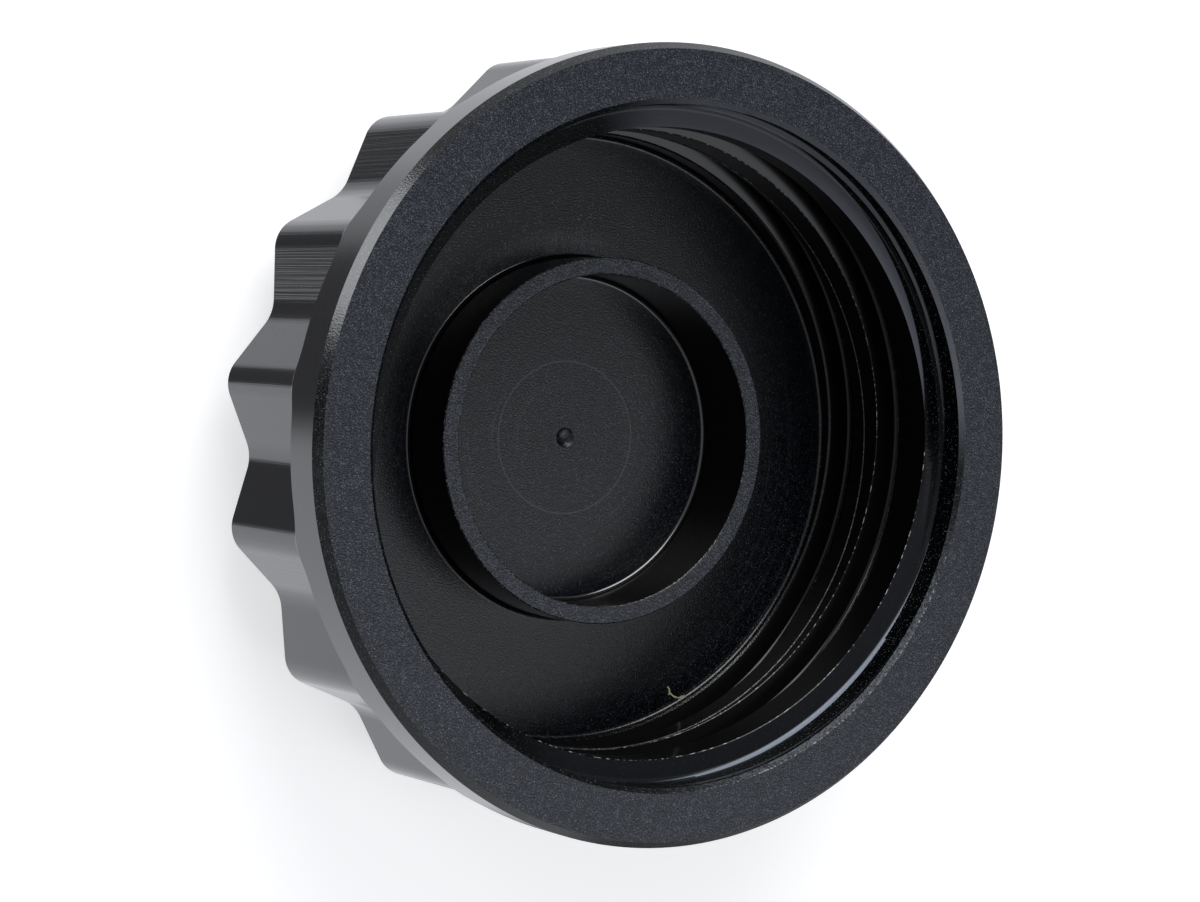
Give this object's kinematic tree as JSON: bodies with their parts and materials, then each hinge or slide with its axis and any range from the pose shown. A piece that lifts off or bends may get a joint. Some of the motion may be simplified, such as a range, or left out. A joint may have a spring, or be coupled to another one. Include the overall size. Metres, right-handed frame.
{
  "type": "fuel cap",
  "caption": "Black anodised aluminium screw cap for a scooter's fuel tank, with a lobed grip, a chamfered flange, a seat for a washer, a coarse inner thread and a ring boss on its floor.",
  "frame": {"origin": "Centre of the flat face of the closed head, which is the lowest face of the cap as it stands", "axes": "+Z along the cap's axis from the head to the open mouth, +X through the top of one lobe of the grip"},
  "size_m": [0.072, 0.072, 0.0245],
  "materials": {
    "black_anodised": "satin black anodised, blasted on the flat faces, milled on the grip, glossy in the thread"
  },
  "bodies": {
    "root": {"cap": "black_anodised"}
  },
  "joints": []
}
